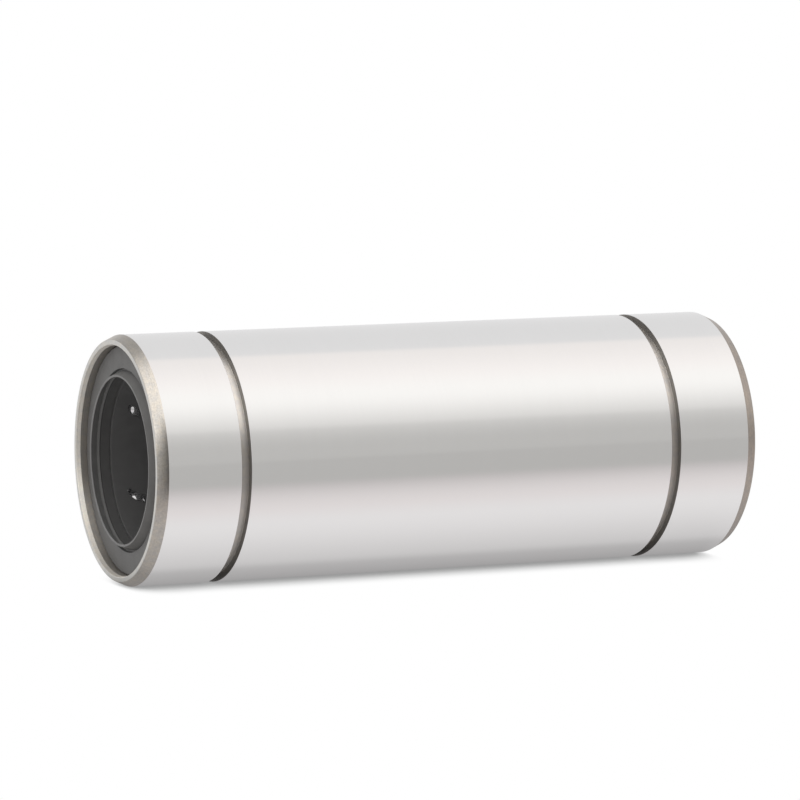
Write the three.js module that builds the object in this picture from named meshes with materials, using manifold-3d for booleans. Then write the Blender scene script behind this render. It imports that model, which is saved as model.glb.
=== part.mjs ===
// Linear ball bushing for a 35 mm shaft, long metric type (35 x 52 x 135 mm), in separate pieces.
// Frame: millimetres, +Z up. The shaft axis is Y, the origin is the centre of the bushing,
// and the front end faces -Y. A depth, with a name in _T, is measured inwards from an end face.

import * as THREE from 'three';
import { mergeVertices } from 'three/addons/utils/BufferGeometryUtils.js';
import Module from 'manifold-3d';

const wasm = await Module();
wasm.setup();

const { degToRad } = THREE.MathUtils;

// ---------------------------------------------------------------- overall size
const LENGTH = 135;            // over the end faces
const HALF = LENGTH / 2;
const OUTER_R = 26;
const SHAFT_R = 17.5;
const SEGMENTS = 36;           // facets round every turned piece

// ---------------------------------------------------------------- balls and their circuits
const BALL_R = 3.969 / 2;      // 5/32 inch ball
const LOADED_R = SHAFT_R + BALL_R;             // loaded row, ball centres
const RETURN_R = 21.22;                        // returning row, ball centres
const TURN_R = 4.2;                            // end turn of a circuit, ball centres
const TURN_BALLS = 3;
const PITCH = Math.PI * TURN_R / TURN_BALLS;   // ball spacing along the circuit
const ROW_BALLS = 10;
const ROW_LENGTH = ROW_BALLS * PITCH;
const APEX_T = 8.5;                            // outermost ball centre
const ROW_T = APEX_T + TURN_R;                 // start of the straight rows
const CIRCUITS = 6;
const FIRST_DEG = 35;                          // first loaded row, from +X towards +Z
const CIRCUIT_STEP_DEG = 360 / CIRCUITS;

// Beads stand for the balls; necks join the beads of one group into one solid.
const BEAD_R = 1.9;
const BEAD_SHOULDER = 0.95;    // half length of the full-radius part of a bead
const BEAD_SIDES = 5;
const NECK_R = 0.45;
const BEAD_TIP_R = NECK_R * 1.6;               // flat tip at each end of a group

// ---------------------------------------------------------------- geometry helpers
// Position-only, indexed copy with coincident vertices merged.
function clean(geometry) {
  const bare = geometry.index ? geometry.toNonIndexed() : geometry.clone();
  for (const key of Object.keys(bare.attributes)) {
    if (key !== 'position') bare.deleteAttribute(key);
  }
  return mergeVertices(bare, 1e-4);
}

// Clean copy whose faces point outwards, also where the source came out inside out.
function outward(geometry) {
  const result = clean(geometry);
  const { index, attributes: { position } } = result;
  const [p0, p1, p2] = [0, 1, 2].map(() => new THREE.Vector3());
  let volume = 0;
  for (let i = 0; i < index.count; i += 3) {
    p0.fromBufferAttribute(position, index.getX(i));
    p1.fromBufferAttribute(position, index.getX(i + 1));
    p2.fromBufferAttribute(position, index.getX(i + 2));
    volume += p0.dot(p1.cross(p2));
  }
  if (volume < 0) {
    for (let i = 0; i < index.count; i += 3) {
      const second = index.getX(i + 1);
      index.setX(i + 1, index.getX(i + 2));
      index.setX(i + 2, second);
    }
  }
  result.computeVertexNormals();
  return result;
}

function toManifold(geometry) {
  const source = clean(geometry);
  return new wasm.Manifold(new wasm.Mesh({
    numProp: 3,
    vertProperties: new Float32Array(source.attributes.position.array),
    triVerts: new Uint32Array(source.index.array),
  }));
}

function indexedGeometry(positions, indices) {
  const geometry = new THREE.BufferGeometry();
  geometry.setAttribute('position', new THREE.BufferAttribute(new Float32Array(positions), 3));
  geometry.setIndex(new THREE.BufferAttribute(new Uint32Array(indices), 1));
  return geometry;
}

function fromManifold(manifold) {
  const mesh = manifold.getMesh();
  return indexedGeometry(mesh.vertProperties, mesh.triVerts);
}

// Ring turned about Y from a closed outline of [radius, depth from the front face] points.
function turned(outline) {
  const points = outline.map(([radius, t]) => new THREE.Vector2(radius, t - HALF));
  if (THREE.ShapeUtils.area(points) < 0) points.reverse();   // makes the faces point out
  points.push(points[0].clone());
  return new THREE.LatheGeometry(points, SEGMENTS);
}

const polar = (radius, angle) =>
  new THREE.Vector2(radius * Math.cos(angle), radius * Math.sin(angle));

function extruded(points, depth) {
  const shape = new THREE.Shape(points);
  shape.closePath();
  return new THREE.ExtrudeGeometry(shape, { depth, bevelEnabled: false, steps: 1 });
}

// Solid swept through stations { centre, radius, across, side }, where across and side are
// unit vectors spanning the section. It closes on itself, or is capped at both ends.
function sweep(stations, sides, closed) {
  const positions = [];
  for (const { centre, radius, across, side } of stations) {
    for (let k = 0; k < sides; k++) {
      const angle = 2 * Math.PI * (k + 0.5) / sides;
      const point = centre.clone()
        .addScaledVector(across, radius * Math.cos(angle))
        .addScaledVector(side, radius * Math.sin(angle));
      positions.push(point.x, point.y, point.z);
    }
  }

  const indices = [];
  const count = stations.length;
  for (let i = 0; i < (closed ? count : count - 1); i++) {
    const here = i * sides;
    const next = ((i + 1) % count) * sides;
    for (let k = 0; k < sides; k++) {
      const k1 = (k + 1) % sides;
      indices.push(here + k, here + k1, next + k);
      indices.push(here + k1, next + k1, next + k);
    }
  }
  if (!closed) {
    const last = (count - 1) * sides;
    for (let k = 1; k < sides - 1; k++) indices.push(0, k + 1, k);
    for (let k = 1; k < sides - 1; k++) indices.push(last, last + k, last + k + 1);
  }
  return indexedGeometry(positions, indices);
}

// ---------------------------------------------------------------- outer cylinder
const RING_GROOVE_T = 18;      // near wall of the retaining-ring groove (99 mm over both)
const RING_GROOVE_END_T = RING_GROOVE_T + 2.1;
const RING_GROOVE_R = 24.5;    // groove root
const SEAT_R = 23.8;           // seal seat
const SNAP_GROOVE_T = 4.4;
const SNAP_GROOVE_END_T = 5.3;
const SNAP_GROOVE_R = 24.3;
const RELIEF_R = 23.3;         // bore between the raceway lands, room for the returning balls
const RACE_R = LOADED_R + BALL_R;              // face of a raceway land
const LAND_ROOT_R = RELIEF_R + 0.4;            // sunk into the wall
const LAND_HALF_ANGLE = degToRad(8);

// Front-end profiles, [radius, depth], from the end face inwards.
const OUTSIDE_PROFILE = [
  [25, 0], [OUTER_R, 2.2],                     // end chamfer
  [OUTER_R, RING_GROOVE_T], [RING_GROOVE_R, RING_GROOVE_T],
  [RING_GROOVE_R, RING_GROOVE_END_T], [OUTER_R, RING_GROOVE_END_T],
];
const INSIDE_PROFILE = [
  [24, 0], [SEAT_R, 0.95],                     // lead-in taper
  [SEAT_R, SNAP_GROOVE_T], [SNAP_GROOVE_R, SNAP_GROOVE_T],
  [SNAP_GROOVE_R, SNAP_GROOVE_END_T], [RELIEF_R, SNAP_GROOVE_END_T],
];

// Raised rib along the bore; its inner face is two flats meeting at the middle angle.
function racewayLand(middle, yStart) {
  const corners = [
    [RACE_R, -1], [RACE_R, 0], [RACE_R, 1], [LAND_ROOT_R, 1], [LAND_ROOT_R, -1],
  ];
  const points = corners.map(([radius, k]) => polar(radius, -(middle + k * LAND_HALF_ANGLE)));
  const land = extruded(points, ROW_LENGTH);
  land.rotateX(-Math.PI / 2);         // shape (x, y) lands at (x, -z), the depth runs along +Y
  land.translate(0, yStart, 0);
  return land;
}

function outerCylinder() {
  const atRear = (profile) => profile.map(([radius, t]) => [radius, LENGTH - t]);
  let body = toManifold(turned([
    ...OUTSIDE_PROFILE,
    ...atRear(OUTSIDE_PROFILE).reverse(),
    ...atRear(INSIDE_PROFILE),
    ...[...INSIDE_PROFILE].reverse(),
  ]));
  // Both sets of lands stand at the angles of the front half's loaded rows.
  for (const yStart of [-HALF + ROW_T, HALF - ROW_T - ROW_LENGTH]) {
    for (let i = 0; i < CIRCUITS; i++) {
      const middle = degToRad(FIRST_DEG + CIRCUIT_STEP_DEG * i);
      body = body.add(toManifold(racewayLand(middle, yStart)));
    }
  }
  return outward(fromManifold(body));
}

// ---------------------------------------------------------------- ball circuits, front half
// Places the loaded and returning rows of circuit i, one turn diameter apart.
function circuitFrame(i) {
  const loadedAngle = degToRad(FIRST_DEG + CIRCUIT_STEP_DEG * i);
  const rowGap = 2 * TURN_R;
  const between = Math.acos(
    (LOADED_R ** 2 + RETURN_R ** 2 - rowGap * rowGap) / (2 * LOADED_R * RETURN_R),
  );
  const rowAt = (radius, angle) =>
    new THREE.Vector3(radius * Math.cos(angle), 0, radius * Math.sin(angle));
  const loaded = rowAt(LOADED_R, loadedAngle);
  const returning = rowAt(RETURN_R, loadedAngle - between);
  const yStart = -HALF + ROW_T;
  return {
    loaded,
    returning,
    middle: loaded.clone().add(returning).multiplyScalar(0.5),
    toReturn: returning.clone().sub(loaded).normalize(),
    yStart,
    yEnd: yStart + ROW_LENGTH,
  };
}

// Beads of a straight row, along Y with the first bead centred on the origin.
function rowBeads() {
  const endY = (ROW_BALLS - 1) * PITCH + BEAD_R;
  const profile = [[0, -BEAD_R], [BEAD_TIP_R, -BEAD_R]];
  for (let i = 0; i < ROW_BALLS; i++) {
    const y = i * PITCH;
    profile.push([BEAD_R, y - BEAD_SHOULDER], [BEAD_R, y + BEAD_SHOULDER]);
    if (i < ROW_BALLS - 1) profile.push([NECK_R, y + PITCH / 2]);
  }
  profile.push([BEAD_TIP_R, endY], [0, endY]);
  const points = profile.map(([radius, y]) => new THREE.Vector2(radius, y));
  return outward(new THREE.LatheGeometry(points, BEAD_SIDES));
}

// Sweep station on an end turn: angle 0 on the loaded row, pi on the returning row.
// The inner turn is the one nearer the middle of the bushing.
function turnStation(circuit, inner, angle, radius) {
  const { middle, toReturn, yStart, yEnd } = circuit;
  const ySign = inner ? 1 : -1;
  const yAxis = new THREE.Vector3(0, 1, 0);
  const across = toReturn.clone()
    .multiplyScalar(-Math.cos(angle))
    .addScaledVector(yAxis, ySign * Math.sin(angle));
  const along = toReturn.clone()
    .multiplyScalar(Math.sin(angle))
    .addScaledVector(yAxis, ySign * Math.cos(angle));
  const centre = middle.clone()
    .setY(inner ? yEnd : yStart)
    .addScaledVector(across, TURN_R);
  return { centre, radius, across, side: along.cross(across).normalize() };
}

function turnBeads(circuit, inner) {
  const tipAngle = Math.asin(0.5 * BEAD_R / TURN_R) * 2;
  const shoulderAngle = BEAD_SHOULDER / TURN_R;
  const step = Math.PI / TURN_BALLS;
  const stations = [];
  const addStation = (angle, radius) =>
    stations.push(turnStation(circuit, inner, angle, radius));

  addStation(0.5 * step - tipAngle, BEAD_TIP_R);
  for (let i = 0; i < TURN_BALLS; i++) {
    const angle = (i + 0.5) * step;
    addStation(angle - shoulderAngle, BEAD_R);
    addStation(angle + shoulderAngle, BEAD_R);
    if (i < TURN_BALLS - 1) addStation(angle + step / 2, NECK_R);
  }
  addStation((TURN_BALLS - 0.5) * step + tipAngle, BEAD_TIP_R);
  return outward(sweep(stations, BEAD_SIDES, false));
}

// ---------------------------------------------------------------- cage
const CAGE_IN_R = 17.65;
const CAGE_OUT_R = 21.2;
const FLANGE_R = 22.8;
const CAGE_T = 5.5;
const FLANGE_END_T = CAGE_T + 0.6;
const CAGE_END_T = HALF - 0.2;
const CAGE_EDGE = 0.3;         // chamfer at both ends of the bore
const TRACK_R = 2.4;           // ball track, over the corners of its section
const TRACK_SIDES = 6;
const TRACK_TURN_STEPS = 6;

const CAGE_OUTLINE = [         // [radius, depth]
  [CAGE_IN_R + CAGE_EDGE, CAGE_T], [FLANGE_R, CAGE_T],
  [FLANGE_R, FLANGE_END_T], [CAGE_OUT_R, FLANGE_END_T],
  [CAGE_OUT_R, CAGE_END_T], [CAGE_IN_R + CAGE_EDGE, CAGE_END_T],
  [CAGE_IN_R, CAGE_END_T - CAGE_EDGE], [CAGE_IN_R, CAGE_T + CAGE_EDGE],
];

// Racetrack-shaped cutter that clears the balls of one circuit.
function trackCutter(circuit) {
  const stations = [];
  for (let i = 0; i <= TRACK_TURN_STEPS; i++) {
    stations.push(turnStation(circuit, true, Math.PI * i / TRACK_TURN_STEPS, TRACK_R));
  }
  for (let i = 0; i <= TRACK_TURN_STEPS; i++) {
    const angle = Math.PI * (1 - i / TRACK_TURN_STEPS);
    const station = turnStation(circuit, false, angle, TRACK_R);
    station.side.negate();            // keeps the section from twisting between the turns
    stations.push(station);
  }
  return outward(sweep(stations, TRACK_SIDES, true));
}

function cageGeometry(circuits) {
  let body = toManifold(turned(CAGE_OUTLINE));
  for (const circuit of circuits) body = body.subtract(toManifold(trackCutter(circuit)));
  return outward(fromManifold(body));
}

// ---------------------------------------------------------------- seal, its core and snap ring
const SEAL_R = 23.68;
const CORE_IN_R = 21.45;

const SEAL_OUTLINE = [         // [radius, depth]
  [SEAL_R, 2.3], [18.75, 2.3], [17.65, 0.85], [17.2, 0.95], [18.4, 2.75],
  [18.3, 3.25], [18.3, 5.2], [21.3, 5.2], [21.3, 3.4], [SEAL_R, 3.4],
];
const CORE_OUTLINE = [         // [radius, depth]
  [CORE_IN_R, 3.5], [SEAL_R, 3.5], [SEAL_R, 4.2], [CORE_IN_R, 4.2],
];

const SNAP_RING = {
  innerR: 21.6,
  outerR: 24.12,
  startT: 4.5,
  endT: 5.2,
  halfGapDeg: 10,
  steps: 34,                   // facets from one side of the gap to the other
};

// Flat open ring with a gap at the bottom.
function snapRingGeometry() {
  const { innerR, outerR, startT, endT, halfGapDeg, steps } = SNAP_RING;
  const angles = Array.from({ length: steps + 1 }, (_, k) =>
    degToRad(-90 + halfGapDeg + (360 - 2 * halfGapDeg) * k / steps));
  const outerArc = angles.map((angle) => polar(outerR, angle));
  const innerArc = angles.map((angle) => polar(innerR, angle)).reverse();
  const ring = extruded([...outerArc, ...innerArc], endT - startT);
  ring.rotateX(Math.PI / 2);          // shape (x, y) lands at (x, z), the depth runs along -Y
  ring.translate(0, -HALF + endT, 0);
  return outward(ring);
}

// ---------------------------------------------------------------- materials
const standard = (settings) => new THREE.MeshStandardMaterial(settings);
const materials = {
  cylinder: () => standard({ color: 0xd6d6d6, roughness: 0.18, metalness: 1 }),
  ball: () => standard({ color: 0xe4e6ea, roughness: 0.06, metalness: 1 }),
  cage: () => standard({ color: 0x2b2b2d, roughness: 0.5, metalness: 0 }),
  seal: () => standard({ color: 0x4d4d50, roughness: 0.62, metalness: 0 }),
  core: () => standard({ color: 0x8e9093, roughness: 0.4, metalness: 1 }),
  snapRing: () => standard({ color: 0x5a5c60, roughness: 0.35, metalness: 1 }),
};

// ---------------------------------------------------------------- assembly
function addMesh(parent, name, geometry, material) {
  const mesh = new THREE.Mesh(geometry, material);
  mesh.name = name;
  parent.add(mesh);
  return mesh;
}

const bushing = new THREE.Group();
bushing.name = 'linear_ball_bushing';
addMesh(bushing, 'outer_cylinder', outerCylinder(), materials.cylinder());

// Geometry of the front half, shared by the rear half.
const circuits = Array.from({ length: CIRCUITS }, (_, i) => circuitFrame(i));
const cage = cageGeometry(circuits);
const seal = outward(turned(SEAL_OUTLINE));
const core = outward(turned(CORE_OUTLINE));
const snapRing = snapRingGeometry();
const row = rowBeads();
const outerTurns = circuits.map((circuit) => turnBeads(circuit, false));
const innerTurns = circuits.map((circuit) => turnBeads(circuit, true));

function buildHalf(end) {
  const half = new THREE.Group();
  half.name = `${end}_half`;
  addMesh(half, `cage_${end}`, cage, materials.cage());
  addMesh(half, `seal_${end}`, seal, materials.seal());
  addMesh(half, `seal_core_${end}`, core, materials.core());
  addMesh(half, `snap_ring_${end}`, snapRing, materials.snapRing());
  circuits.forEach(({ loaded, returning, yStart }, i) => {
    const addBalls = (group, geometry) =>
      addMesh(half, `balls_${group}_${end}_${i + 1}`, geometry, materials.ball());
    const firstBallY = yStart + PITCH / 2;
    addBalls('loaded', row).position.set(loaded.x, firstBallY, loaded.z);
    addBalls('return', row).position.set(returning.x, firstBallY, returning.z);
    addBalls('outer_turn', outerTurns[i]);
    addBalls('inner_turn', innerTurns[i]);
  });
  return half;
}

const rearHalf = buildHalf('rear');
rearHalf.rotation.z = Math.PI;        // turned end for end
bushing.add(buildHalf('front'), rearHalf);

export default bushing;
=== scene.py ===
"""Linear ball bushing, two rows of circuits end to end, lying along Y on a table.

The front end is at -Y and the rear end at +Y; the rear half is the front half turned
180 degrees about Z. Dimensions are in mm. "Depth" is the distance in from an end face,
and angles round the axis run from +X towards +Z.
"""
import math

import bmesh
import bpy
import numpy as np
from mathutils import Matrix, Vector


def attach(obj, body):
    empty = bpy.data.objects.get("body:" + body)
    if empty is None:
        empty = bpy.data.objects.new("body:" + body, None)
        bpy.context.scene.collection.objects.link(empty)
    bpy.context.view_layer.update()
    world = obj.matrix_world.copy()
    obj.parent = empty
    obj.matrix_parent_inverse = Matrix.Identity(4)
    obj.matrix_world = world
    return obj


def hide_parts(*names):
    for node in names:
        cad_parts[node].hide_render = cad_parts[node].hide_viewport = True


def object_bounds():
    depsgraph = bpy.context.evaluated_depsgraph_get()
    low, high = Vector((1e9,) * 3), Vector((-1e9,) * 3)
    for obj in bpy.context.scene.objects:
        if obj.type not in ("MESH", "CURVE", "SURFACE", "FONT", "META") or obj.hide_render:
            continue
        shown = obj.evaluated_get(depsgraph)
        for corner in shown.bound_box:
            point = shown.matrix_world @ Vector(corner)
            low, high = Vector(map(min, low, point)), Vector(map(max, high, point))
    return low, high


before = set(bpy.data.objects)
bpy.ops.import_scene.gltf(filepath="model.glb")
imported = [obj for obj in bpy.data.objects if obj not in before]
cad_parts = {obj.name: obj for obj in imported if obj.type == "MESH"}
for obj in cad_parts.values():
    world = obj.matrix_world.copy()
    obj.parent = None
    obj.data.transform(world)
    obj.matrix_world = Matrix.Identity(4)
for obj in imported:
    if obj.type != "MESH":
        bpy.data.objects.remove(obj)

cad_lo, cad_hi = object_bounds()

# ---------------------------------------------------------------- dimensions
MM = 0.001
DEG = math.pi / 180
SIDES = {"front": -1, "rear": 1}    # sign of y at each end

HALF = 67.5           # half of the overall length
OUTER_R = 26.0
CHAMFER_DEPTH = 2.2
BORE_R = 23.3         # relief bore between the raceway lands
LAND_R = 21.4685      # raceway land over a loaded row
LAND_EDGE_R = 22.0    # step beside the land
LAND_DEG = 8.01       # half angle of the land
LAND_EDGE_DEG = 9.01  # half angle with the step

BALL_R = 1.9805       # slightly under size, so a ball never cuts the raceway facets
LOADED_R = 19.4845    # ball centre radius, loaded row
RETURN_R = 21.22      # ball centre radius, return row
TURN_R = 4.2          # radius of the end turns; the two rows are twice this apart
PITCH = math.pi * TURN_R / 3
ROW_BALLS = 10
ROW_START = 12.7      # depth at which the straight rows start
ROW_LENGTH = ROW_BALLS * PITCH
CIRCUITS = 6          # at each end
FIRST_DEG = 35.0      # angle of the first loaded row of the front end
RETURN_DEG = -math.degrees(math.acos(
    (LOADED_R ** 2 + RETURN_R ** 2 - (2 * TURN_R) ** 2) / (2 * LOADED_R * RETURN_R)))

CAGE_IN_R = 17.65
CAGE_OUT_R = 21.2
TRACK_R = 2.045       # radius of the tunnels in the cage


# ---------------------------------------------------------------- lathe and mesh helpers
def round_corner(before, corner, after, radius):
    """Points of a fillet and their outward normals; the corner and None where it stays sharp."""
    to_before = (before - corner) / np.linalg.norm(before - corner)
    to_after = (after - corner) / np.linalg.norm(after - corner)
    angle = math.acos(max(-1, min(1, float(to_before @ to_after))))
    if radius <= 0 or abs(angle - math.pi) < 1e-3:
        return [corner], None
    reach = radius / math.tan(angle / 2)
    limit = 0.49 * min(np.linalg.norm(before - corner), np.linalg.norm(after - corner))
    if reach > limit:
        radius *= limit / reach
        reach = limit
    start, end = corner + to_before * reach, corner + to_after * reach
    middle = (to_before + to_after) / np.linalg.norm(to_before + to_after)
    centre = corner + middle * radius / math.sin(angle / 2)
    count = max(2, min(14, int(math.ceil(math.degrees(math.pi - angle) / 11.0))))
    first = math.atan2(*(start - centre)[::-1])
    last = math.atan2(*(end - centre)[::-1])
    sweep = (last - first + math.pi) % (2 * math.pi) - math.pi
    arc = []
    for j in range(count + 1):
        turn = first + sweep * j / count
        arc.append(centre + radius * np.array([math.cos(turn), math.sin(turn)]))
    normals = [(point - centre) / radius for point in arc]
    # outward is the right hand side of the direction of travel
    travel = end - start
    right = np.array([travel[1], -travel[0]])
    sign = 1.0 if float(right @ normals[count // 2]) > 0 else -1.0
    return arc, [normal * sign for normal in normals]


def round_outline(points):
    """Fillets a closed outline of (r, y, fillet, tag); a tag names the run that starts there.

    Returns the points and the segments (a, b, normal at a, normal at b, tag).
    """
    count = len(points)
    area = sum(points[i][0] * points[(i + 1) % count][1] - points[(i + 1) % count][0] * points[i][1]
               for i in range(count))
    if area < 0:
        points = [(*points[i][:3], points[i - 1][3]) for i in range(count)][::-1]
    sharp = [np.array(point[:2], float) for point in points]
    corners = [round_corner(sharp[i - 1], sharp[i], sharp[(i + 1) % count], points[i][2])
               for i in range(count)]
    rounded, ends = [], []
    for arc, _ in corners:
        ends.append((len(rounded), len(rounded) + len(arc) - 1))
        rounded += arc
    segments = []
    for i, (arc, normals) in enumerate(corners):
        start, end = ends[i]
        if normals is not None:
            for j in range(len(arc) - 1):
                tag = points[i - 1][3] if j < (len(arc) - 1) / 2 else points[i][3]
                segments.append((start + j, start + j + 1, normals[j], normals[j + 1], tag))
        following = ends[(i + 1) % count][0]
        run = rounded[following] - rounded[end]
        length = np.linalg.norm(run)
        if length > 1e-9:
            normal = np.array([run[1], -run[0]]) / length
            segments.append((end, following, normal, normal, points[i][3]))
    return rounded, segments


def revolve(outline, count, bend=None, start=0.0):
    """Revolves an outline about Y in count steps; bend(r, y, angle) -> r reshapes points.

    Returns vertices in metres, faces, corner normals and the tag of each face.
    """
    rounded, segments = round_outline(outline)
    angles = [start + 2 * math.pi * j / count for j in range(count)]
    verts, moved = [], [False] * len(rounded)
    for k, (r, y) in enumerate(rounded):
        for angle in angles:
            radius = r
            if bend is not None:
                bent = bend(r, y, angle)
                if abs(bent - r) > 1e-9:
                    radius = bent
                    moved[k] = True
            verts.append((radius * math.cos(angle) * MM, y * MM, radius * math.sin(angle) * MM))
    faces, normals, tags = [], [], []
    for a, b, normal_a, normal_b, tag in segments:
        for j in range(count):
            j2 = (j + 1) % count
            face = (a * count + j, b * count + j, b * count + j2, a * count + j2)
            faces.append(face)
            tags.append(tag)
            if moved[a] or moved[b]:
                quad = [Vector(verts[i]) for i in face]
                normals += [(quad[2] - quad[0]).cross(quad[3] - quad[1]).normalized()] * 4
            else:
                for normal, at in ((normal_a, j), (normal_b, j), (normal_b, j2), (normal_a, j2)):
                    normals.append((normal[0] * math.cos(angles[at]), normal[1],
                                    normal[0] * math.sin(angles[at])))
    return verts, faces, normals, tags


def new_object(name, verts, faces):
    mesh = bpy.data.meshes.new(name)
    mesh.from_pydata(verts, [], faces)
    ob = bpy.data.objects.new(name, mesh)
    bpy.context.scene.collection.objects.link(ob)
    return ob


def register(ob, piece, body="bushing"):
    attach(ob, body)
    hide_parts(piece)


def shade_smooth(mesh):
    mesh.polygons.foreach_set("use_smooth", np.ones(len(mesh.polygons), bool))


def recalc_normals(mesh):
    work = bmesh.new()
    work.from_mesh(mesh)
    bmesh.ops.recalc_face_normals(work, faces=work.faces)
    work.to_mesh(mesh)
    work.free()


def lathe(name, outline, count, materials, piece, bend=None):
    """Makes a revolved piece; materials gives one material for each tag, in slot order."""
    verts, faces, normals, tags = revolve(outline, count, bend)
    ob = new_object(name, verts, faces)
    mesh = ob.data
    shade_smooth(mesh)
    for material in materials.values():
        mesh.materials.append(material)
    order = list(materials)
    mesh.polygons.foreach_set("material_index", np.array([order.index(g) for g in tags], np.int32))
    mesh.update()
    mesh.normals_split_custom_set(normals)
    register(ob, piece)


def place(side, outline):
    """Turns an outline given by depth into one given by y, at one end."""
    return [(r, side * (HALF - depth), fillet, tag) for r, depth, fillet, tag in outline]


def turned(point, side):
    """A front point as it is, or turned about Z to the rear half."""
    return (point[0] * -side, point[1] * -side, point[2])


# ---------------------------------------------------------------- shader helpers
class Shader:
    """Short ways to add and link nodes in one node tree."""

    def __init__(self, tree):
        self.tree = tree
        tree.nodes.clear()

    def node(self, kind, inputs=None, **settings):
        node = self.tree.nodes.new(kind)
        for key, value in settings.items():
            setattr(node, key, value)
        for key, value in (inputs or {}).items():
            socket = node.inputs[key]
            if isinstance(value, bpy.types.NodeSocket):
                self.tree.links.new(value, socket)
            elif socket.type == "RGBA" and len(value) == 3:
                socket.default_value = (*value, 1)
            else:
                socket.default_value = value
        return node

    def out(self, kind, inputs=None, **settings):
        return self.node(kind, inputs, **settings).outputs[0]

    def math(self, operation, *values):
        return self.out("ShaderNodeMath", dict(enumerate(values)), operation=operation)

    def plus(self, first, *rest):
        return self.math("ADD", first, rest[0] if len(rest) == 1 else self.plus(*rest))

    def ramp(self, factor, stops):
        node = self.node("ShaderNodeValToRGB", {0: factor})
        ramp = node.color_ramp
        ramp.interpolation = "LINEAR"
        while len(ramp.elements) > 1:
            ramp.elements.remove(ramp.elements[-1])
        ramp.elements[0].position = stops[0][0]
        ramp.elements[0].color = (*stops[0][1], 1)
        for position, colour in stops[1:]:
            ramp.elements.new(position).color = (*colour, 1)
        return node.outputs[0]

    def turn_ramp(self, turn, levels):
        """Grey levels given as (degrees, level), for a turn of -180..180 mapped to 0..1."""
        return self.ramp(turn, [((deg + 180) / 360.0, (level,) * 3) for deg, level in levels])

    def mix(self, factor, a, b, blend="MIX"):
        node = self.node("ShaderNodeMix", {0: factor, 6: a, 7: b}, data_type="RGBA", blend_type=blend)
        return node.outputs[2]

    def multiply(self, a, b):
        return self.mix(1.0, a, b, "MULTIPLY")

    def grey(self, level):
        return self.out("ShaderNodeCombineColor", {0: level, 1: level, 2: level})

    def remap(self, value, source, target, kind="LINEAR"):
        inputs = {0: value, 1: source[0], 2: source[1], 3: target[0], 4: target[1]}
        return self.out("ShaderNodeMapRange", inputs, interpolation_type=kind)

    def spread(self, noise, low, high):
        """The usual range of a noise stretched to low..high."""
        return self.remap(noise, (0.3, 0.7), (low, high))

    def mottle(self, noise, first, second):
        return self.mix(self.remap(noise, (0.35, 0.65), (0.0, 1.0)), first, second)

    def noise(self, vector, scale, detail=2.0, rough=0.5):
        return self.out("ShaderNodeTexNoise", {"Vector": vector, "Scale": scale,
                                               "Detail": detail, "Roughness": rough})

    def streaks(self, vector, scales, detail=2.0, rough=0.5):
        stretched = self.out("ShaderNodeMapping", {0: vector, 3: scales})
        return self.noise(stretched, 1.0, detail, rough)

    def bump(self, height, strength, distance):
        return self.out("ShaderNodeBump",
                        {"Strength": strength, "Distance": distance, "Height": height})

    def split(self, vector):
        return self.node("ShaderNodeSeparateXYZ", {0: vector}).outputs

    def coords(self, kind="Object"):
        return self.node("ShaderNodeTexCoord").outputs[kind]

    def principled(self, inputs):
        return self.out("ShaderNodeBsdfPrincipled", inputs)

    def end(self, surface, kind="ShaderNodeOutputMaterial"):
        self.node(kind, {0: surface})


def new_material(name):
    material = bpy.data.materials.new(name)
    material.use_nodes = True
    return material, Shader(material.node_tree)


def polar(tree, coords):
    """(arc length on the outside, y, radius), so that marks run round the axis."""
    x, y, z = tree.split(coords)
    angle = tree.math("ARCTAN2", z, x)
    radius = tree.math("SQRT", tree.plus(tree.math("POWER", x, 2.0), tree.math("POWER", z, 2.0)))
    arc = tree.math("MULTIPLY", angle, OUTER_R * MM)
    return tree.out("ShaderNodeCombineXYZ", {0: arc, 1: y, 2: radius})


def mirror(tree):
    """The direction to the viewer and the mirror direction, both split into x, y, z."""
    geometry = tree.node("ShaderNodeNewGeometry").outputs
    reflected = tree.out("ShaderNodeVectorMath", {0: geometry["Incoming"], 1: geometry["Normal"]},
                         operation="REFLECT")
    away = tree.out("ShaderNodeVectorMath", {0: reflected, "Scale": -1.0}, operation="SCALE")
    return tree.split(geometry["Incoming"]), tree.split(away)


def round_axis(tree, away, side):
    """Angle round the axis from level on one side (1 = +x, -1 = -x), -180..180 mapped to 0..1."""
    angle = tree.math("ARCTAN2", away[2], tree.math("MULTIPLY", away[0], side))
    return tree.plus(tree.math("DIVIDE", angle, 2 * math.pi), 0.5)


def ease(x, start, end):
    """0 below start, 1 above end, smooth in between."""
    k = min(max((x - start) / (end - start), 0.0), 1.0)
    return k * k * (3 - 2 * k)


def level_at(x, level, *moves):
    """A level that changes by change between start and end, for each (start, end, change)."""
    return level + sum(change * ease(x, start, end) for start, end, change in moves)


# ---------------------------------------------------------------- steel
# Painted reflection: factors on the outside's colour by the mirror direction, (degrees round the
# axis, factor): darker at the level and brightest under the near half of the overhead softbox.
PAINTED_REFLECTION_MINUS_X = (
    (-180, 1.0), (-110, 1.12), (-75, 1.08), (-50, 1.0), (-30, 0.86), (-14, 0.66), (0, 0.68),
    (11, 0.70), (24, 0.80), (33, 0.92), (46, 1.12), (60, 1.24), (75, 1.12), (90, 1.0),
    (105, 0.92), (114, 0.77), (140, 0.86), (180, 1.06))
# The same painted reflection for the +x side seen from the rear end.
PAINTED_REFLECTION_REAR = (
    (-180, 1.0), (-8, 1.0), (0, 0.76), (11, 0.74), (24, 0.80), (33, 0.95), (46, 1.09),
    (60, 1.10), (75, 1.02), (90, 1.0), (106, 0.98), (113, 0.90), (140, 0.92), (180, 0.89))
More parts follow.
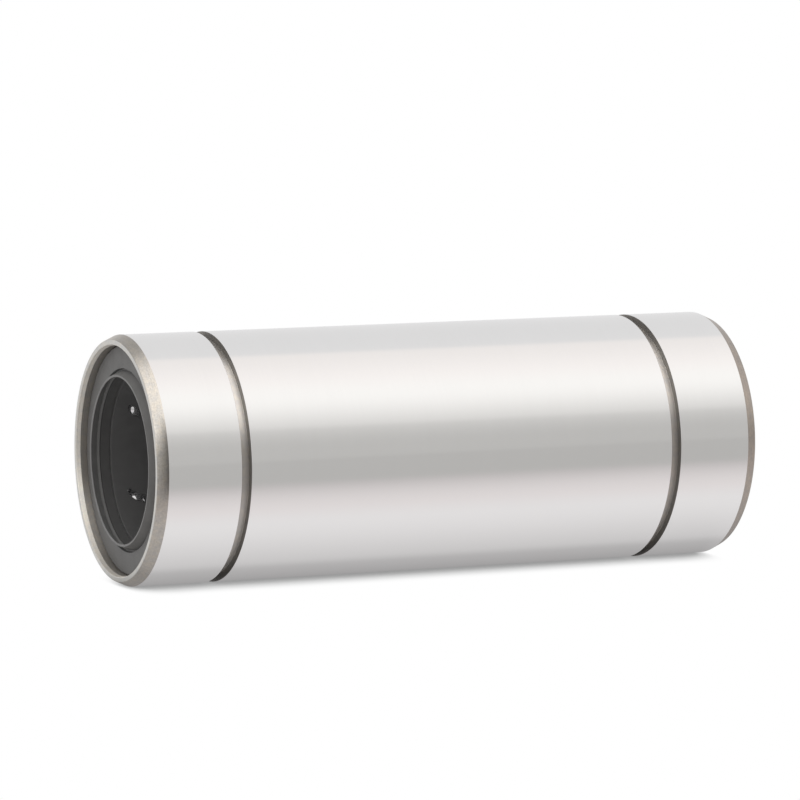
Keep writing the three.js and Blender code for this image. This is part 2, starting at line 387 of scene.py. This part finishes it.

# Painted light: factors on a turned surface's colour by the angle its reflection leaves at round the
# axis,
# standing for the overhead light: the level at -180 degrees, then (from degrees, to degrees, change).
TURNED_PAINTED_LIGHT = (0.92, (-150, -118, -0.19), (-48, -14, -0.19), (10, 48, 0.74), (60, 112, -0.17),
         (94, 128, -0.57), (150, 185, 0.38))
GROOVE_PAINTED_LIGHT = (0.92, (-150, -118, -0.19), (-48, -14, -0.22), (12, 48, 0.97), (60, 112, -0.20),
                (95, 126, -0.78), (150, 185, 0.42))
BEVEL_PAINTED_LIGHT = (1.0, (-5, 35, 0.50), (40, 140, -0.78), (155, 185, 0.28))
RECESS_PAINTED_LIGHT = (1.0, (-60, 0, -0.13), (10, 60, 0.75), (62, 135, -0.80), (155, 185, 0.18))
# painted shade: factors that darken reflections along the axis and surfaces square to the viewer
ENDWAYS_PAINTED_SHADE = (0.61, 0.575, 0.56)   # returned where the reflection leaves along the axis
SQUARE_PAINTED_SHADE = 0.62                   # factor where the surface looks straight at the viewer


def ground_steel():
    """Outside cylinder: fine circumferential grinding over hardened bearing steel, with a painted
    reflection in its colour when seen from -x or from the rear.
    """
    material, tree = new_material("bearing_steel_ground")
    coords = tree.coords()
    around = polar(tree, coords)
    fine = tree.streaks(around, (60.0, 5200.0, 60.0), detail=3.0, rough=0.6)
    wide = tree.streaks(around, (25.0, 260.0, 25.0))
    grain = tree.noise(coords, 5200.0, detail=1.0)
    tone = tree.plus(1.0, tree.spread(fine, -0.005, 0.005), tree.spread(wide, -0.004, 0.004),
                     tree.spread(grain, -0.006, 0.006))
    colour = tree.multiply(tree.grey(tone), (0.74, 0.738, 0.734))
    # painted reflection: the colour is lightened and darkened by the mirror direction
    view, away = mirror(tree)
    minus_x = tree.turn_ramp(round_axis(tree, away, -1.0), PAINTED_REFLECTION_MINUS_X)
    rear = tree.turn_ramp(round_axis(tree, away, 1.0), PAINTED_REFLECTION_REAR)
    from_rear = tree.math("MULTIPLY", tree.remap(view[1], (0.08, 0.34), (0.0, 1.0)),
                          tree.remap(view[0], (0.0, 0.28), (0.0, 1.0)))
    from_minus_x = tree.remap(view[0], (-0.30, -0.02), (1.0, 0.0))
    colour = tree.mix(from_rear, colour, tree.multiply(colour, rear))
    colour = tree.mix(from_minus_x, colour, tree.multiply(colour, minus_x))
    tree.end(tree.principled({
        "Base Color": colour,
        "Metallic": 1.0,
        "Roughness": tree.plus(tree.spread(fine, 0.115, 0.145), tree.spread(wide, -0.01, 0.01)),
        "Anisotropic": 0.45,
        "Anisotropic Rotation": 0.25,
        "Normal": tree.bump(fine, strength=0.03, distance=0.00002),
        "Tangent": tree.out("ShaderNodeTangent", direction_type="RADIAL", axis="Y"),
    }))
    return material


def painted_turned_light(tree, table, fade, across):
    """Painted light on turned steel: a colour factor for the overhead light, worked out from the
    mirror direction.

    fade adds painted shade to reflections along the axis and to surfaces square to the viewer. across
    (outer, inner) replaces that last factor on the chamfer, from its face edge inwards.
    """
    view, away = mirror(tree)
    levels = [(deg, level_at(deg, *table)) for deg in range(-180, 181, 12)]
    both = []
    for side in (-1.0, 1.0):
        response = tree.turn_ramp(round_axis(tree, away, side), levels)
        if fade:
            endways = tree.remap(tree.math("MULTIPLY", away[1], side), (0.30, 0.62), (0.0, 1.0))
            response = tree.mix(endways, response, ENDWAYS_PAINTED_SHADE)
        both.append(response)
    response = tree.mix(tree.remap(view[0], (-0.35, 0.35), (0.0, 1.0)), *both)
    if not fade:
        return response
    geometry = tree.node("ShaderNodeNewGeometry").outputs
    facing = tree.node("ShaderNodeVectorMath", {0: geometry["Incoming"], 1: geometry["Normal"]},
                       operation="DOT_PRODUCT").outputs["Value"]
    square = SQUARE_PAINTED_SHADE
    if across:
        y = tree.split(tree.coords())[1]
        chamfer = (HALF * MM, (HALF - CHAMFER_DEPTH) * MM)
        square = tree.remap(tree.math("ABSOLUTE", y), chamfer, across)
    factor = tree.remap(facing, (0.935, 0.995), (1.0, square), "SMOOTHSTEP")
    return tree.multiply(response, tree.grey(factor))


def turned_steel(name, base, rough, speck=0.15, line=0.05, bump=0.4, painted_light_table=None, metal=1.0,
                 fade=True, across=None, glow=0.0):
    """Turned and tumbled surfaces: faint tool lines round the axis, a fine speckle, and painted light
    and shade from a table of levels where one is given.

    rough is (low, high); speck and line are the tone swings of the speckle and the lines;
    glow is a painted glow that stands for light scattered in the bore.
    """
    material, tree = new_material("bearing_steel_" + name if name != "core" else "core_steel_pressed")
    coords = tree.coords()
    specks = tree.noise(coords, 2900.0, detail=3.0, rough=0.7)
    clouds = tree.noise(coords, 900.0)
    lines = tree.streaks(polar(tree, coords), (40.0, 5000.0, 5000.0))
    tone = tree.plus(1.0, tree.remap(specks, (0.32, 0.68), (-speck, speck)),
                     tree.spread(lines, -line, line), tree.spread(clouds, -0.05, 0.05))
    warm = tuple(c * k for c, k in zip(base, (1.03, 1.0, 0.95)))
    colour = tree.multiply(tree.grey(tone), tree.mottle(clouds, base, warm))
    # painted light and shade from the table of levels, by the mirror direction
    if painted_light_table:
        colour = tree.multiply(colour, painted_turned_light(tree, painted_light_table, fade, across))
    height = tree.plus(tree.math("MULTIPLY", specks, 0.6), tree.math("MULTIPLY", lines, 0.4))
    tree.end(tree.principled({
        "Base Color": colour,
        "Metallic": metal,
        "Roughness": tree.spread(specks, *rough),
        "Emission Strength": glow,
        "Normal": tree.bump(height, strength=bump, distance=0.00003),
    }))
    return material


def ball_steel():
    """Polished steel under a thin dull film."""
    material, tree = new_material("ball_steel_polished")
    noise = tree.noise(tree.coords(), 2600.0)
    polished = tree.principled({
        "Base Color": tree.mottle(noise, (0.80, 0.80, 0.81), (0.76, 0.76, 0.765)),
        "Metallic": 1.0,
        "Roughness": tree.spread(noise, 0.045, 0.075),
    })
    film = tree.principled({"Base Color": (0.27, 0.27, 0.275), "Roughness": 0.6})
    tree.end(tree.out("ShaderNodeMixShader", {0: 0.30, 1: polished, 2: film}))
    return material


def spring_steel():
    material, tree = new_material("spring_steel_blued")
    noise = tree.noise(tree.coords(), 2400.0, detail=3.0, rough=0.6)
    tree.end(tree.principled({
        "Base Color": tree.mottle(noise, (0.10, 0.10, 0.11), (0.16, 0.155, 0.15)),
        "Metallic": 0.9,
        "Roughness": tree.spread(noise, 0.32, 0.46),
    }))
    return material


# ---------------------------------------------------------------- resin and rubber
def moulded(name, shades, gain, grain, clouds, rough, ior, bump, extra=None):
    """Dark moulded surface. grain and clouds are noise scales; gain brightens both shades."""
    material, tree = new_material(name)
    coords = tree.coords()
    fine = tree.noise(coords, grain, detail=3.0, rough=0.6)
    dark, light = (tuple(c * gain for c in shade) for shade in shades)
    tree.end(tree.principled({
        "Base Color": tree.mottle(tree.noise(coords, clouds), dark, light),
        "Roughness": tree.spread(fine, *rough),
        "IOR": ior,
        "Normal": tree.bump(fine, strength=bump, distance=0.00002),
        **(extra or {}),
    }))
    return material


def resin(part, gain, scattered):
    """scattered is a painted glow that stands for the light that wanders about inside the bore and
    its slots.
    """
    shades = ((0.094, 0.093, 0.093), (0.106, 0.105, 0.105))
    glow = {"Emission Color": (1.0, 0.99, 0.98), "Emission Strength": scattered}
    return moulded("cage_resin_" + part, shades, gain, grain=3000.0, clouds=350.0,
                   rough=(0.42, 0.55), ior=1.5, bump=0.25, extra=glow)


def rubber(part, gain):
    shades = ((0.098, 0.097, 0.096), (0.112, 0.111, 0.110))
    return moulded("seal_rubber_" + part, shades, gain, grain=3800.0, clouds=260.0,
                   rough=(0.50, 0.62), ior=1.48, bump=0.3)


OUTSIDE = ground_steel()
# Painted light and shade: the chamfer, groove, groove sides, mouth bevel and recess take it from
# their tables of levels, and their base colours are lit and shaded copies of one turned steel, the
# groove and bevel lighter, the groove sides and recess darker
CHAMFER = turned_steel("turned", (0.56, 0.535, 0.50), (0.30, 0.42), painted_light_table=TURNED_PAINTED_LIGHT,
                       across=(1.55, 0.42))
FACE = turned_steel("end_face", (0.545, 0.54, 0.525), (0.28, 0.38), speck=0.06)
GROOVE = turned_steel("groove", (0.67, 0.65, 0.625), (0.40, 0.41), speck=0.01, line=0.02,
                      bump=0.0, painted_light_table=GROOVE_PAINTED_LIGHT, metal=0.62)
GROOVE_WALL = turned_steel("groove_side", (0.32, 0.312, 0.302), (0.45, 0.46), speck=0.01,
                           line=0.02, bump=0.0, painted_light_table=TURNED_PAINTED_LIGHT, metal=0.8)
BEVEL = turned_steel("mouth_bevel", (0.69, 0.665, 0.625), (0.45, 0.60), speck=0.06, line=0.06,
                     painted_light_table=BEVEL_PAINTED_LIGHT, metal=0.4, fade=False)
RECESS = turned_steel("recess", (0.44, 0.42, 0.395), (0.36, 0.50), speck=0.06, line=0.06,
                      bump=0.2, painted_light_table=RECESS_PAINTED_LIGHT, metal=0.8, fade=False)
# painted light: the bore glows faintly, standing for light scattered inside it
BORE = turned_steel("bore", (0.50, 0.49, 0.475), (0.25, 0.35), speck=0.04, glow=0.012)
BALL = ball_steel()
# Lit and shaded copies of one resin, with a painted glow: the skin darker, the tunnels much lighter,
# to lift the shade in the bore and slots
CAGE_SKIN = resin("moulded", 0.78, scattered=0.009)
TUNNEL = resin("tunnel", 2.5, scattered=0.02)
# Lit and shaded copies of one rubber: the lip, collar, inside and ring copies are lighter as painted
# light, and the deep copy darker as painted shade
SEAL_MATERIALS = {
    "body": rubber("moulded", 1.06),
    "lip": rubber("lip", 1.45),
    "collar": rubber("collar", 1.38),
    "inside": rubber("inside", 1.9),
    "ring": rubber("ring", 1.3),
    "deep": rubber("deep", 0.80),
}
SPRING = spring_steel()
CORE_STEEL = turned_steel("core", (0.50, 0.49, 0.48), (0.30, 0.42), speck=0.05, line=0.03)

# ---------------------------------------------------------------- outer cylinder
# Half the outline, from the middle of the outside to the middle of the bore:
# (radius, depth, fillet, tag of the run that follows).
HALF_OUTLINE = [
    (OUTER_R, HALF, 0, "outside"),
    (OUTER_R, 20.1, 0.10, "wall"),
    (24.5, 20.1, 0.05, "groove"),
    (24.5, 18.0, 0.05, "wall"),
    (OUTER_R, 18.0, 0.10, "outside"),
    (OUTER_R, CHAMFER_DEPTH, 0.35, "chamfer"),
    (25.0, 0.0, 0.22, "face"),
    (24.0, 0.0, 0.16, "bevel"),
    (23.8, 0.95, 0.10, "recess"),
    (23.8, 4.4, 0.05, "recess"),
    (24.3, 4.4, 0.05, "recess"),
    (24.3, 5.3, 0.05, "recess"),
    (BORE_R, 5.3, 0.10, "bore"),
    (BORE_R, ROW_START - 0.5, 0, "bore"),
    (BORE_R, ROW_START, 0, "bore"),
    (BORE_R, ROW_START + ROW_LENGTH, 0, "bore"),
    (BORE_R, ROW_START + ROW_LENGTH + 0.5, 0, "bore"),
    (BORE_R, HALF, 0, "bore"),
]


def cylinder_outline():
    """Out along the rear half, then back along the front half with the tags moved to suit."""
    rear = place(1, HALF_OUTLINE)
    front = place(-1, HALF_OUTLINE)[::-1]
    way_back = [(*point[:3], following[3]) for point, following in zip(front, front[1:])]
    return rear[:-1] + way_back


def raceway_lands(r, y, angle):
    """Raceway lands stand in from the relief bore over each loaded row."""
    if abs(r - BORE_R) > 0.01:
        return r
    for side in SIDES.values():
        depth = HALF - side * y
        if not ROW_START - 1e-3 <= depth <= ROW_START + ROW_LENGTH + 1e-3:
            continue
        for i in range(CIRCUITS):
            row = (FIRST_DEG + 60 * i) * DEG
            if side > 0:
                row = math.pi - row
            off = abs((angle - row + math.pi) % (2 * math.pi) - math.pi) / DEG
            if off < LAND_DEG:
                return LAND_R
            if off < LAND_EDGE_DEG:
                return LAND_EDGE_R
    return r


CYLINDER_MATERIALS = {"outside": OUTSIDE, "chamfer": CHAMFER, "groove": GROOVE, "recess": RECESS,
                      "bore": BORE, "face": FACE, "wall": GROOVE_WALL, "bevel": BEVEL}
lathe("outer_cylinder_body", cylinder_outline(), 360, CYLINDER_MATERIALS, "outer_cylinder",
      raceway_lands)

# ---------------------------------------------------------------- seals, cores and snap rings
# (radius, depth, fillet, tag of the run that follows)
SEAL = [
    (23.74, 2.62, 0.05, "body"), (23.50, 2.3, 0.10, "body"),
    (18.98, 2.3, 0.12, "body"), (18.86, 2.95, 0.10, "body"),
    (18.58, 2.95, 0.08, "collar"), (17.72, 0.88, 0.08, "lip"),
    (17.17, 0.95, 0.12, "inside"), (18.42, 2.66, 0.10, "ring"),
    (18.20, 3.18, 0.10, "deep"), (18.3, 3.42, 0.10, "deep"),
    (18.3, 5.46, 0.10, "body"), (21.3, 5.46, 0.10, "body"),
    (21.3, 3.4, 0.05, "body"), (23.74, 3.4, 0.08, "body"),
]
CORE = [(21.48, 3.45, 0.08, "core"), (23.66, 3.45, 0.12, "core"),
        (23.66, 4.2, 0.12, "core"), (21.48, 4.2, 0.08, "core")]
SEAL_SLOTS = ("body", "lip", "inside", "ring", "deep", "collar")
for end, side in SIDES.items():
    lathe("seal_%s_rubber" % end, place(side, SEAL), 240,
          {tag: SEAL_MATERIALS[tag] for tag in SEAL_SLOTS}, "seal_%s" % end)
    lathe("seal_core_%s_ring" % end, place(side, CORE), 180, {"core": CORE_STEEL},
          "seal_core_%s" % end)

WIRE_R = (21.6, 24.12)      # inner and outer radius of the snap ring
WIRE_DEPTH = (4.5, 5.2)
WIRE_FILLET = 0.12
WIRE_HALF_GAP = 10          # degrees, either side of straight down
WIRE_STEPS = 170


def snap_ring(end, side):
    """C-shaped ring with a gap at the bottom, rounded section and eased ends."""
    corners = ((0, 0), (1, 0), (1, 1), (0, 1))
    section, _ = round_outline([(WIRE_R[a], WIRE_DEPTH[b], WIRE_FILLET, "wire") for a, b in corners])
    count = len(section)
    centre_r, centre_depth = 22.86, 4.85
    first = (-90 + WIRE_HALF_GAP) * DEG
    last = (270 - WIRE_HALF_GAP) * DEG
    eased = WIRE_FILLET / centre_r
    # (angle, scale of the section)
    stations = [(first, 0.86), (first + eased * 0.3, 0.96)]
    stations += [(first + eased + (last - first - 2 * eased) * j / WIRE_STEPS, 1.0)
                 for j in range(WIRE_STEPS + 1)]
    stations += [(last - eased * 0.3, 0.96), (last, 0.86)]
    verts = []
    for angle, scale in stations:
        for r, depth in section:
            radius = centre_r + (r - centre_r) * (1 - (1 - scale) * 0.35)
            y = centre_depth + (depth - centre_depth) * scale - HALF
            point = (radius * math.cos(angle) * MM, y * MM, radius * math.sin(angle) * MM)
            verts.append(turned(point, side))
    faces = []
    for i in range(len(stations) - 1):
        for k in range(count):
            k2 = (k + 1) % count
            faces.append((i * count + k, i * count + k2, (i + 1) * count + k2, (i + 1) * count + k))
    faces.append(tuple(range(count))[::-1])
    faces.append(tuple((len(stations) - 1) * count + k for k in range(count)))
    ob = new_object("snap_ring_%s_wire" % end, verts, faces)
    shade_smooth(ob.data)
    ob.data.materials.append(SPRING)
    ob.data.update()
    register(ob, "snap_ring_%s" % end)
    recalc_normals(ob.data)
    ob.data.set_sharp_from_angle(angle=40 * DEG)


for end, side in SIDES.items():
    snap_ring(end, side)

# ---------------------------------------------------------------- ball circuits
ALONG = np.array([0, 1.0, 0])
ROW_Y = (ROW_START - HALF, ROW_START - HALF + ROW_LENGTH)   # straight rows of the front end


def circuit(i):
    """Middle of circuit i and the direction from its loaded to its return row, in XZ."""
    loaded_at = (FIRST_DEG + 60 * i) * DEG
    return_at = loaded_at + RETURN_DEG * DEG
    loaded = np.array([LOADED_R * math.cos(loaded_at), 0, LOADED_R * math.sin(loaded_at)])
    returning = np.array([RETURN_R * math.cos(return_at), 0, RETURN_R * math.sin(return_at)])
    across = (returning - loaded) / np.linalg.norm(returning - loaded)
    return (loaded + returning) / 2, across


def ball_centres(side, i, kind):
    middle, across = circuit(i)
    if kind in ("loaded", "return"):
        row = middle + across * (-TURN_R if kind == "loaded" else TURN_R)
        return [turned(row + ALONG * (ROW_Y[0] + (j + 0.5) * PITCH), side)
                for j in range(ROW_BALLS)]
    outward, y = (-ALONG, ROW_Y[0]) if kind == "outer_turn" else (ALONG, ROW_Y[1])
    centres = []
    for deg in (30, 90, 150):
        point = (middle + ALONG * y - across * (TURN_R * math.cos(deg * DEG))
                 + outward * (TURN_R * math.sin(deg * DEG)))
        centres.append(turned(point, side))
    return centres


def quad_sphere(n):
    """Unit sphere from a cube with n x n quads a side, points evened out in angle."""
    grid = [math.tan((k / n - 0.5) * math.pi / 2) for k in range(n + 1)]
    verts, index, faces = [], {}, []
    for axis in range(3):
        u, v = [(1, 2), (2, 0), (0, 1)][axis]
        for sign in (-1, 1):
            for a in range(n):
                for b in range(n):
                    quad = []
                    for da, db in ((0, 0), (1, 0), (1, 1), (0, 1)):
                        point = np.zeros(3)
                        point[axis] = sign
                        point[u] = grid[a + da]
                        point[v] = grid[b + db]
                        key = tuple(round(c, 9) for c in point)
                        if key not in index:
                            index[key] = len(verts)
                            verts.append(point / np.linalg.norm(point))
                        quad.append(index[key])
                    faces.append(tuple(quad if sign > 0 else quad[::-1]))
    return np.array(verts), faces


SPHERE_VERTS, SPHERE_FACES = quad_sphere(8)


def ball_set(end, side, i, kind):
    piece = "balls_%s_%s_%d" % (kind, end, i + 1)
    verts, faces, normals = [], [], []
    for centre in ball_centres(side, i, kind):
        offset = len(verts)
        verts += [tuple(v) for v in (np.array(centre) + SPHERE_VERTS * BALL_R) * MM]
        for face in SPHERE_FACES:
            faces.append(tuple(corner + offset for corner in face))
            normals += [tuple(SPHERE_VERTS[corner]) for corner in face]
    ob = new_object(piece + "_set", verts, faces)
    shade_smooth(ob.data)
    ob.data.materials.append(BALL)
    ob.data.update()
    ob.data.normals_split_custom_set(normals)
    register(ob, piece, body=piece)


for end, side in SIDES.items():
    for i in range(CIRCUITS):
        for kind in ("loaded", "return", "outer_turn", "inner_turn"):
            ball_set(end, side, i, kind)

# ---------------------------------------------------------------- cages
# (radius, depth, fillet, tag)
CAGE = [
    (CAGE_IN_R, 5.5, 0.08, "cage"), (22.8, 5.5, 0.12, "cage"),
    (22.8, 6.1, 0.12, "cage"), (CAGE_OUT_R, 6.1, 0.15, "cage"),
    (CAGE_OUT_R, 67.3, 0.30, "cage"), (CAGE_IN_R, 67.3, 0.30, "cage"),
]


def track(side, i, count=32, turn_steps=20):
    """The tunnel one circuit runs in, as a closed round sweep along the endless path."""
    middle, across = circuit(i)
    sideways = np.cross(across, ALONG)
    path = []
    for y, way in zip(ROW_Y, (-1, 1)):
        for j in range(turn_steps + 1):
            f = math.pi * j / turn_steps
            centre = (middle + ALONG * y + way * across * TURN_R * math.cos(f)
                      + way * ALONG * TURN_R * math.sin(f))
            path.append((centre, way * across * math.cos(f) + way * ALONG * math.sin(f)))
    verts, faces = [], []
    for centre, outward in path:
        for k in range(count):
            u = 2 * math.pi * (k + 0.37) / count
            point = centre + TRACK_R * (math.cos(u) * outward + math.sin(u) * sideways)
            verts.append(tuple(c * MM for c in turned(point, side)))
    for a in range(len(path)):
        b = (a + 1) % len(path)
        for k in range(count):
            k2 = (k + 1) % count
            faces.append((a * count + k, a * count + k2, b * count + k2, b * count + k))
    ob = new_object("track_cut", verts, faces)
    recalc_normals(ob.data)
    return ob


def cage(end, side):
    name = "cage_%s_shell" % end
    # started off the round angles, so that its edges miss those of the tunnels
    verts, faces, _, _ = revolve(place(side, CAGE), 180, start=0.37 * DEG)
    ob = new_object(name, verts, faces)
    ob.data.update()
    # the tunnels never meet, so they cut as one mesh
    cuts = [track(side, i) for i in range(CIRCUITS)]
    bpy.ops.object.select_all(action="DESELECT")
    for cut in cuts:
        cut.select_set(True)
    cutter = cuts[0]
    bpy.context.view_layer.objects.active = cutter
    bpy.ops.object.join()
    boolean = ob.modifiers.new("cut", "BOOLEAN")
    boolean.operation = "DIFFERENCE"
    boolean.solver = "EXACT"
    boolean.object = cutter
    depsgraph = bpy.context.evaluated_depsgraph_get()
    mesh = bpy.data.meshes.new_from_object(ob.evaluated_get(depsgraph))
    ob.modifiers.clear()
    ob.data = mesh
    mesh.name = name
    bpy.data.objects.remove(cutter, do_unlink=True)
    mesh.materials.clear()
    mesh.materials.append(CAGE_SKIN)
    mesh.materials.append(TUNNEL)
    # faces away from the cage's own skin belong to the tunnels
    centres = np.zeros(len(mesh.polygons) * 3)
    mesh.polygons.foreach_get("center", centres)
    centres = centres.reshape(-1, 3) / MM
    radius = np.hypot(centres[:, 0], centres[:, 2])
    depth = HALF - np.abs(centres[:, 1])
    within = (radius > CAGE_IN_R + 0.03) & (radius < CAGE_OUT_R - 0.03)
    within &= (depth > 6.3) & (depth < 67.0)
    mesh.polygons.foreach_set("material_index", within.astype(np.int32))
    shade_smooth(mesh)
    mesh.set_sharp_from_angle(angle=35 * DEG)
    mesh.update()
    register(ob, "cage_%s" % end)


for end, side in SIDES.items():
    cage(end, side)

# ---------------------------------------------------------------- studio levels
# Reflected levels are given as seen in the polished steel, so they are divided by what it returns.
STEEL_RETURN = 0.74
COOL, PLAIN, WARM = (1.0, 0.995, 1.0), (1.0, 0.985, 0.966), (1.0, 0.962, 0.945)


def between(k, a, b):
    return tuple(x + (y - x) * k for x, y in zip(a, b))


def lit(level, tint=(1.0, 1.0, 1.0)):
    return tuple(level * c / STEEL_RETURN for c in tint)


def sky_at(deg):
    """Studio by angle round the axis: 0 = level on the camera's side, 90 = overhead.

    One wide softbox overhead with a soft near side and a crisp far side, before a pale wall.
    """
    box = level_at(deg, 0.94, (64, 112, -0.115))
    level = 0.492 + (box - 0.492) * level_at(deg, 0.0, (11, 60, 0.87), (27, 31, 0.13))
    wall = level_at(deg, 0.71, (112, 145, -0.035), (145, 180, -0.04))
    beyond = ease(deg, 107, 112.5)
    level += (wall - level) * beyond
    return lit(level, between(beyond, between(ease(deg, 60, 80), PLAIN, WARM), COOL))


def table_at(x, near=True):
    """Table on the camera's side by distance x (mm) from the axis.

    Near the bushing it has the bushing's shade; it darkens towards the camera.
    """
    level = 0.765
    if near:
        level = level_at(x, 0.13, (-10, 27, 0.50), (11, 14.5, 0.08), (20, 34, 0.055))
    level -= 0.305 * ease(x, 28, 97)
    rosy = between(ease(x, 32, 42), (1.0, 0.98, 0.985), (1.0, 0.95, 0.95))
    return lit(level, between(ease(x, 70, 95), rosy, PLAIN))


def back_at(x):
    """The same on the -x side."""
    return lit(level_at(x, 0.13, (-10, 27, 0.49), (14, 40, 0.11)))


# ---------------------------------------------------------------- world
SKY_DEGREES = (0, 12, 16, 20, 24, 27, 28, 29, 30, 31, 35, 40, 45, 50, 55, 60, 66, 73, 80, 90, 100,
               107, 108, 109, 110, 111, 112.5, 130, 145, 160, 172, 180)
# reflections towards the front: (angle round the axis / 180 degrees, colour)
FRONT_SKY = [(0.0, (0.90, 0.89, 0.88)), (0.22, (1.02, 1.01, 1.0)), (0.38, (1.24, 1.22, 1.20)),
             (0.56, (1.16, 1.14, 1.12)), (0.66, (1.0, 0.99, 0.98)), (1.0, (0.97, 0.97, 0.97))]
# light on matt surfaces: (height of the direction, colour)
AMBIENT = [(0.0, (0.82, 0.81, 0.81)), (0.35, (1.0, 0.99, 0.985)), (0.75, (1.42, 1.41, 1.39)),
           (1.0, (1.5, 1.49, 1.47))]

scene = bpy.context.scene
world = bpy.data.worlds.new("studio")
scene.world = world
world.use_nodes = True
tree = Shader(world.node_tree)
x, y, z = tree.split(tree.coords("Generated"))
turn = tree.math("DIVIDE", tree.math("ABSOLUTE", tree.math("ARCTAN2", z, x)), math.pi)
bands = tree.ramp(turn, [(deg / 180.0, sky_at(deg)) for deg in SKY_DEGREES])
soft = tree.ramp(turn, FRONT_SKY)
sky = tree.mix(tree.remap(y, (-0.18, 0.12), (0.0, 1.0)), soft, bands)
ambient = tree.ramp(tree.remap(z, (0.0, 1.0), (0.0, 1.0)), AMBIENT)
ray = tree.node("ShaderNodeLightPath").outputs
seen = tree.mix(ray["Is Glossy Ray"], ambient, sky)
seen = tree.mix(ray["Is Camera Ray"], seen, (1.0, 1.0, 1.0))
tree.end(tree.out("ShaderNodeBackground", {0: seen}), "ShaderNodeOutputWorld")
world.cycles.sampling_method = "NONE"

# ---------------------------------------------------------------- table
TABLE_REACH = 200.0   # mm covered by the table's ramps
TABLE_MARKS = (0, 3, 6, 9, 11, 11.7, 12.4, 13.1, 13.8, 14.5, 17, 20, 24, 28, 32, 36, 42, 48, 54, 60,
               66, 72, 78, 84, 90, 95, 120, 200)
# contact shade seen by the camera: (ambient occlusion, level)
CONTACT_SHADE = ((0.0, 0.30), (0.055, 0.44), (0.12, 0.68), (0.20, 0.80), (0.315, 0.95), (0.5, 1.0))


def table_material():
    """To the camera plain, with a painted contact shadow from ambient occlusion; a matt surface to
    diffuse rays; set levels, with a painted shadow near the bushing, to reflections.
    """
    material, tree = new_material("studio_table")
    x, y, _ = tree.split(tree.node("ShaderNodeNewGeometry").outputs["Position"])
    # painted contact shadow: ambient occlusion sets the level the camera sees
    occlusion = tree.node("ShaderNodeAmbientOcclusion", {"Distance": 0.009}, samples=24)
    shade = tree.ramp(occlusion.outputs["AO"], [(at, (level,) * 3) for at, level in CONTACT_SHADE])
    distance = tree.out("ShaderNodeMath", {0: tree.math("ABSOLUTE", x), 1: TABLE_REACH * MM},
                        operation="DIVIDE", use_clamp=True)

    def levels(level_of, *options):
        stops = [(mark / TABLE_REACH, level_of(mark, *options)) for mark in TABLE_MARKS]
        return tree.ramp(distance, stops)

    plus_x = tree.remap(x, (-0.002, 0.002), (0.0, 1.0))
    past_ends = tree.remap(tree.math("ABSOLUTE", y), (0.064, 0.100), (0.0, 1.0))
    beside = tree.mix(plus_x, levels(back_at), levels(table_at))
    clear = tree.mix(plus_x, back_at(100.0), levels(table_at, False))
    reflected = tree.out("ShaderNodeEmission", {0: tree.mix(past_ends, beside, clear), 1: 1.0})
    matt = tree.out("ShaderNodeBsdfDiffuse", {0: (0.74, 0.735, 0.73)})
    direct = tree.out("ShaderNodeEmission", {0: shade, 1: 1.0})
    ray = tree.node("ShaderNodeLightPath").outputs
    other = tree.out("ShaderNodeMixShader", {0: ray["Is Glossy Ray"], 1: matt, 2: reflected})
    tree.end(tree.out("ShaderNodeMixShader", {0: ray["Is Camera Ray"], 1: other, 2: direct}))
    return material


TABLE_SIZE = 40.0                         # metres
TABLE_Z = float(cad_lo[2]) - 0.00002      # just under the bushing
# the quad sits off centre, so that its diagonal stays out of every view
near_y, far_y = -1.3 * TABLE_SIZE, 0.7 * TABLE_SIZE
table = new_object("table", [(-TABLE_SIZE, near_y, TABLE_Z), (TABLE_SIZE, near_y, TABLE_Z),
                             (TABLE_SIZE, far_y, TABLE_Z), (-TABLE_SIZE, far_y, TABLE_Z)],
                   [(0, 1, 2, 3)])
table.data.materials.append(table_material())

# ---------------------------------------------------------------- camera and view transform
CAMERA_PLACE = (0.954728, -0.412417, 0.122924)
CAMERA_AXES = (                           # its right, up and backward directions
    (0.39358, 0.91929, 0.0),
    (-0.099455, 0.042580, 0.994131),
    (0.913895, -0.391269, 0.108187),
)
lens = bpy.data.cameras.new("camera")
lens.sensor_fit = "HORIZONTAL"
lens.sensor_width = 36.0
lens.lens = 223.275
lens.clip_start = 0.05
lens.clip_end = 100.0
camera = bpy.data.objects.new("camera", lens)
scene.collection.objects.link(camera)
camera.matrix_world = (Matrix.Translation(CAMERA_PLACE)
                       @ Matrix(CAMERA_AXES).transposed().to_4x4())
scene.camera = camera
scene.view_settings.view_transform = "Standard"
scene.view_settings.look = "None"
